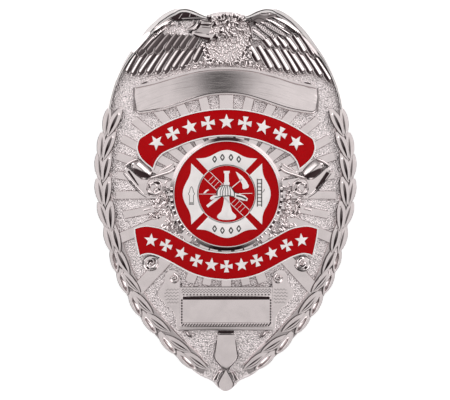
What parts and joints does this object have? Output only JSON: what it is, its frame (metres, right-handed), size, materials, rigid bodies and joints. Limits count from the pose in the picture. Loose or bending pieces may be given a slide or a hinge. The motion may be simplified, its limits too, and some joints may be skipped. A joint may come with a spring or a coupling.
{
  "type": "firefighter badge",
  "caption": "Shield-shaped domed metal badge with a spread eagle, laurel, rays, two red enamel ribbons, a round cross seal, blank name and number panels and a pin back.",
  "frame": {"origin": "centre of the badge's outline, on the flat rim that it lies on", "axes": "+Z out of the face toward the viewer, +Y up the face toward the eagle, +X to the viewer's right"},
  "size_m": [0.0522, 0.0766, 0.0074],
  "materials": {
    "nickel": "polished nickel plate over die-cast zinc, with a stippled matt field between the polished relief",
    "red_enamel": "glossy crimson enamel, flush with its metal rims",
    "plain_nickel": "plain nickel plate"
  },
  "bodies": {
    "root": {"body": "nickel", "upper_enamel": "red_enamel", "lower_enamel": "red_enamel", "seal": "nickel", "seal_enamel": "red_enamel", "pin_clasp": "plain_nickel"}
  },
  "joints": []
}
